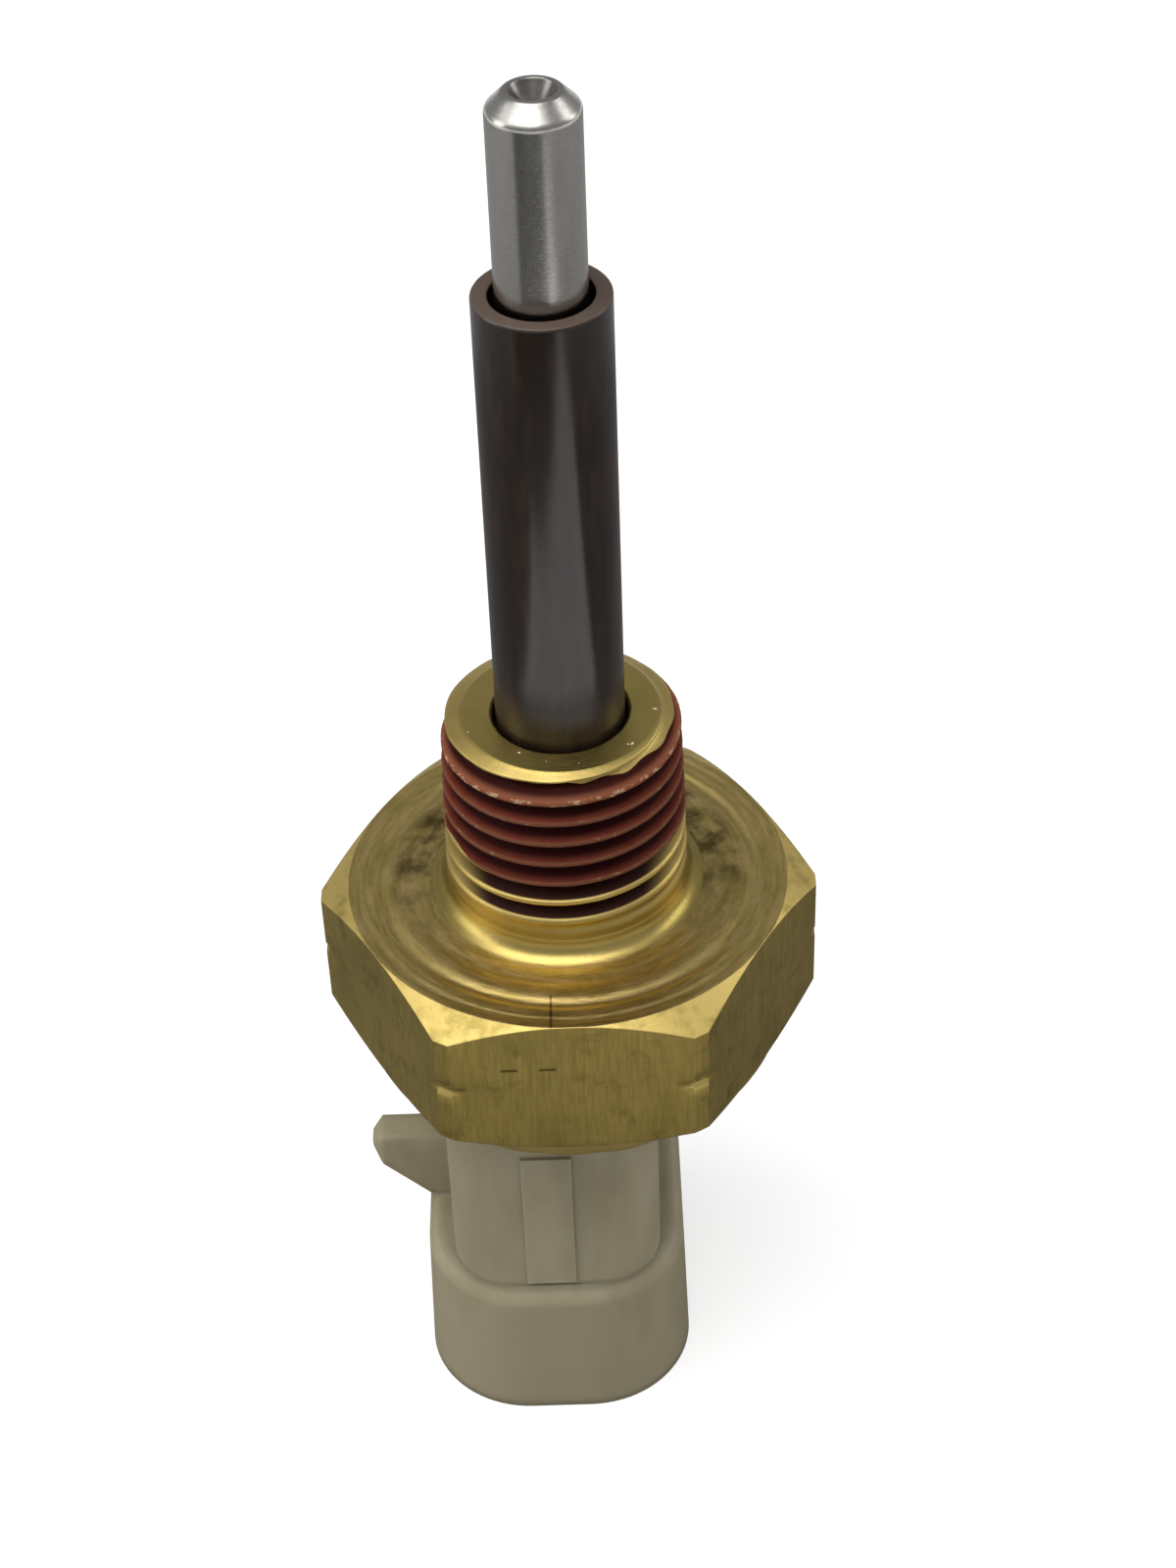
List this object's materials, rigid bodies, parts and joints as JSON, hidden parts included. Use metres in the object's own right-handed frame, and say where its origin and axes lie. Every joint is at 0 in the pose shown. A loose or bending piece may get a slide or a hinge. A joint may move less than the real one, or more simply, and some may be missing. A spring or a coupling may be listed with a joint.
{
  "type": "coolant temperature sender",
  "caption": "Threaded brass temperature sender: sleeved steel probe above a hexagon with tapered pipe thread, and a nylon connector with lock nib below.",
  "frame": {"origin": "on the probe axis, at the connector mouth plane, the lowest plane of the part", "axes": "+Z along the probe axis towards the probe tip, hexagon flats facing +Y and -Y, lock nib of the connector on the -X side"},
  "size_m": [0.0288, 0.0254, 0.0858],
  "materials": {
    "brass": "turned brass, uneven tarnish, straw yellow with darker olive and pinkish bands, fine concentric tool marks",
    "sealant": "dried brick-red thread sealant, satin, rubbed through on the crests",
    "steel": "ground stainless steel with fine turning lines",
    "sleeve": "dark brown semi-gloss insulating resin sleeve, lighter matte brown cut end",
    "nylon": "natural off-white nylon, slightly translucent, satin moulded face",
    "rubber": "black seal rubber",
    "washer": "brown fibre washer",
    "ceramic": "sintered dark grey pellet, matt",
    "filling": "pale grey heat-conducting filling",
    "copper": "tinned copper, bright",
    "sleeving": "cream woven sleeving",
    "terminal": "tinned terminal strip, satin bright",
    "resin": "black potting resin, glossy cast surface"
  },
  "bodies": {
    "root": {"brass_body": "brass", "thread_sealant": "sealant", "probe_tube": "steel", "probe_sleeve": "sleeve", "connector_housing": "nylon", "sleeve_seal": "rubber", "probe_seal": "rubber", "housing_seal": "rubber", "insulating_washer": "washer", "thermistor_pellet": "ceramic", "tip_potting": "filling", "signal_lead": "copper", "return_lead": "copper", "signal_lead_sleeving": "sleeving", "return_lead_sleeving": "sleeving", "signal_terminal": "terminal", "return_terminal": "terminal", "potting_plug": "resin"}
  },
  "joints": []
}
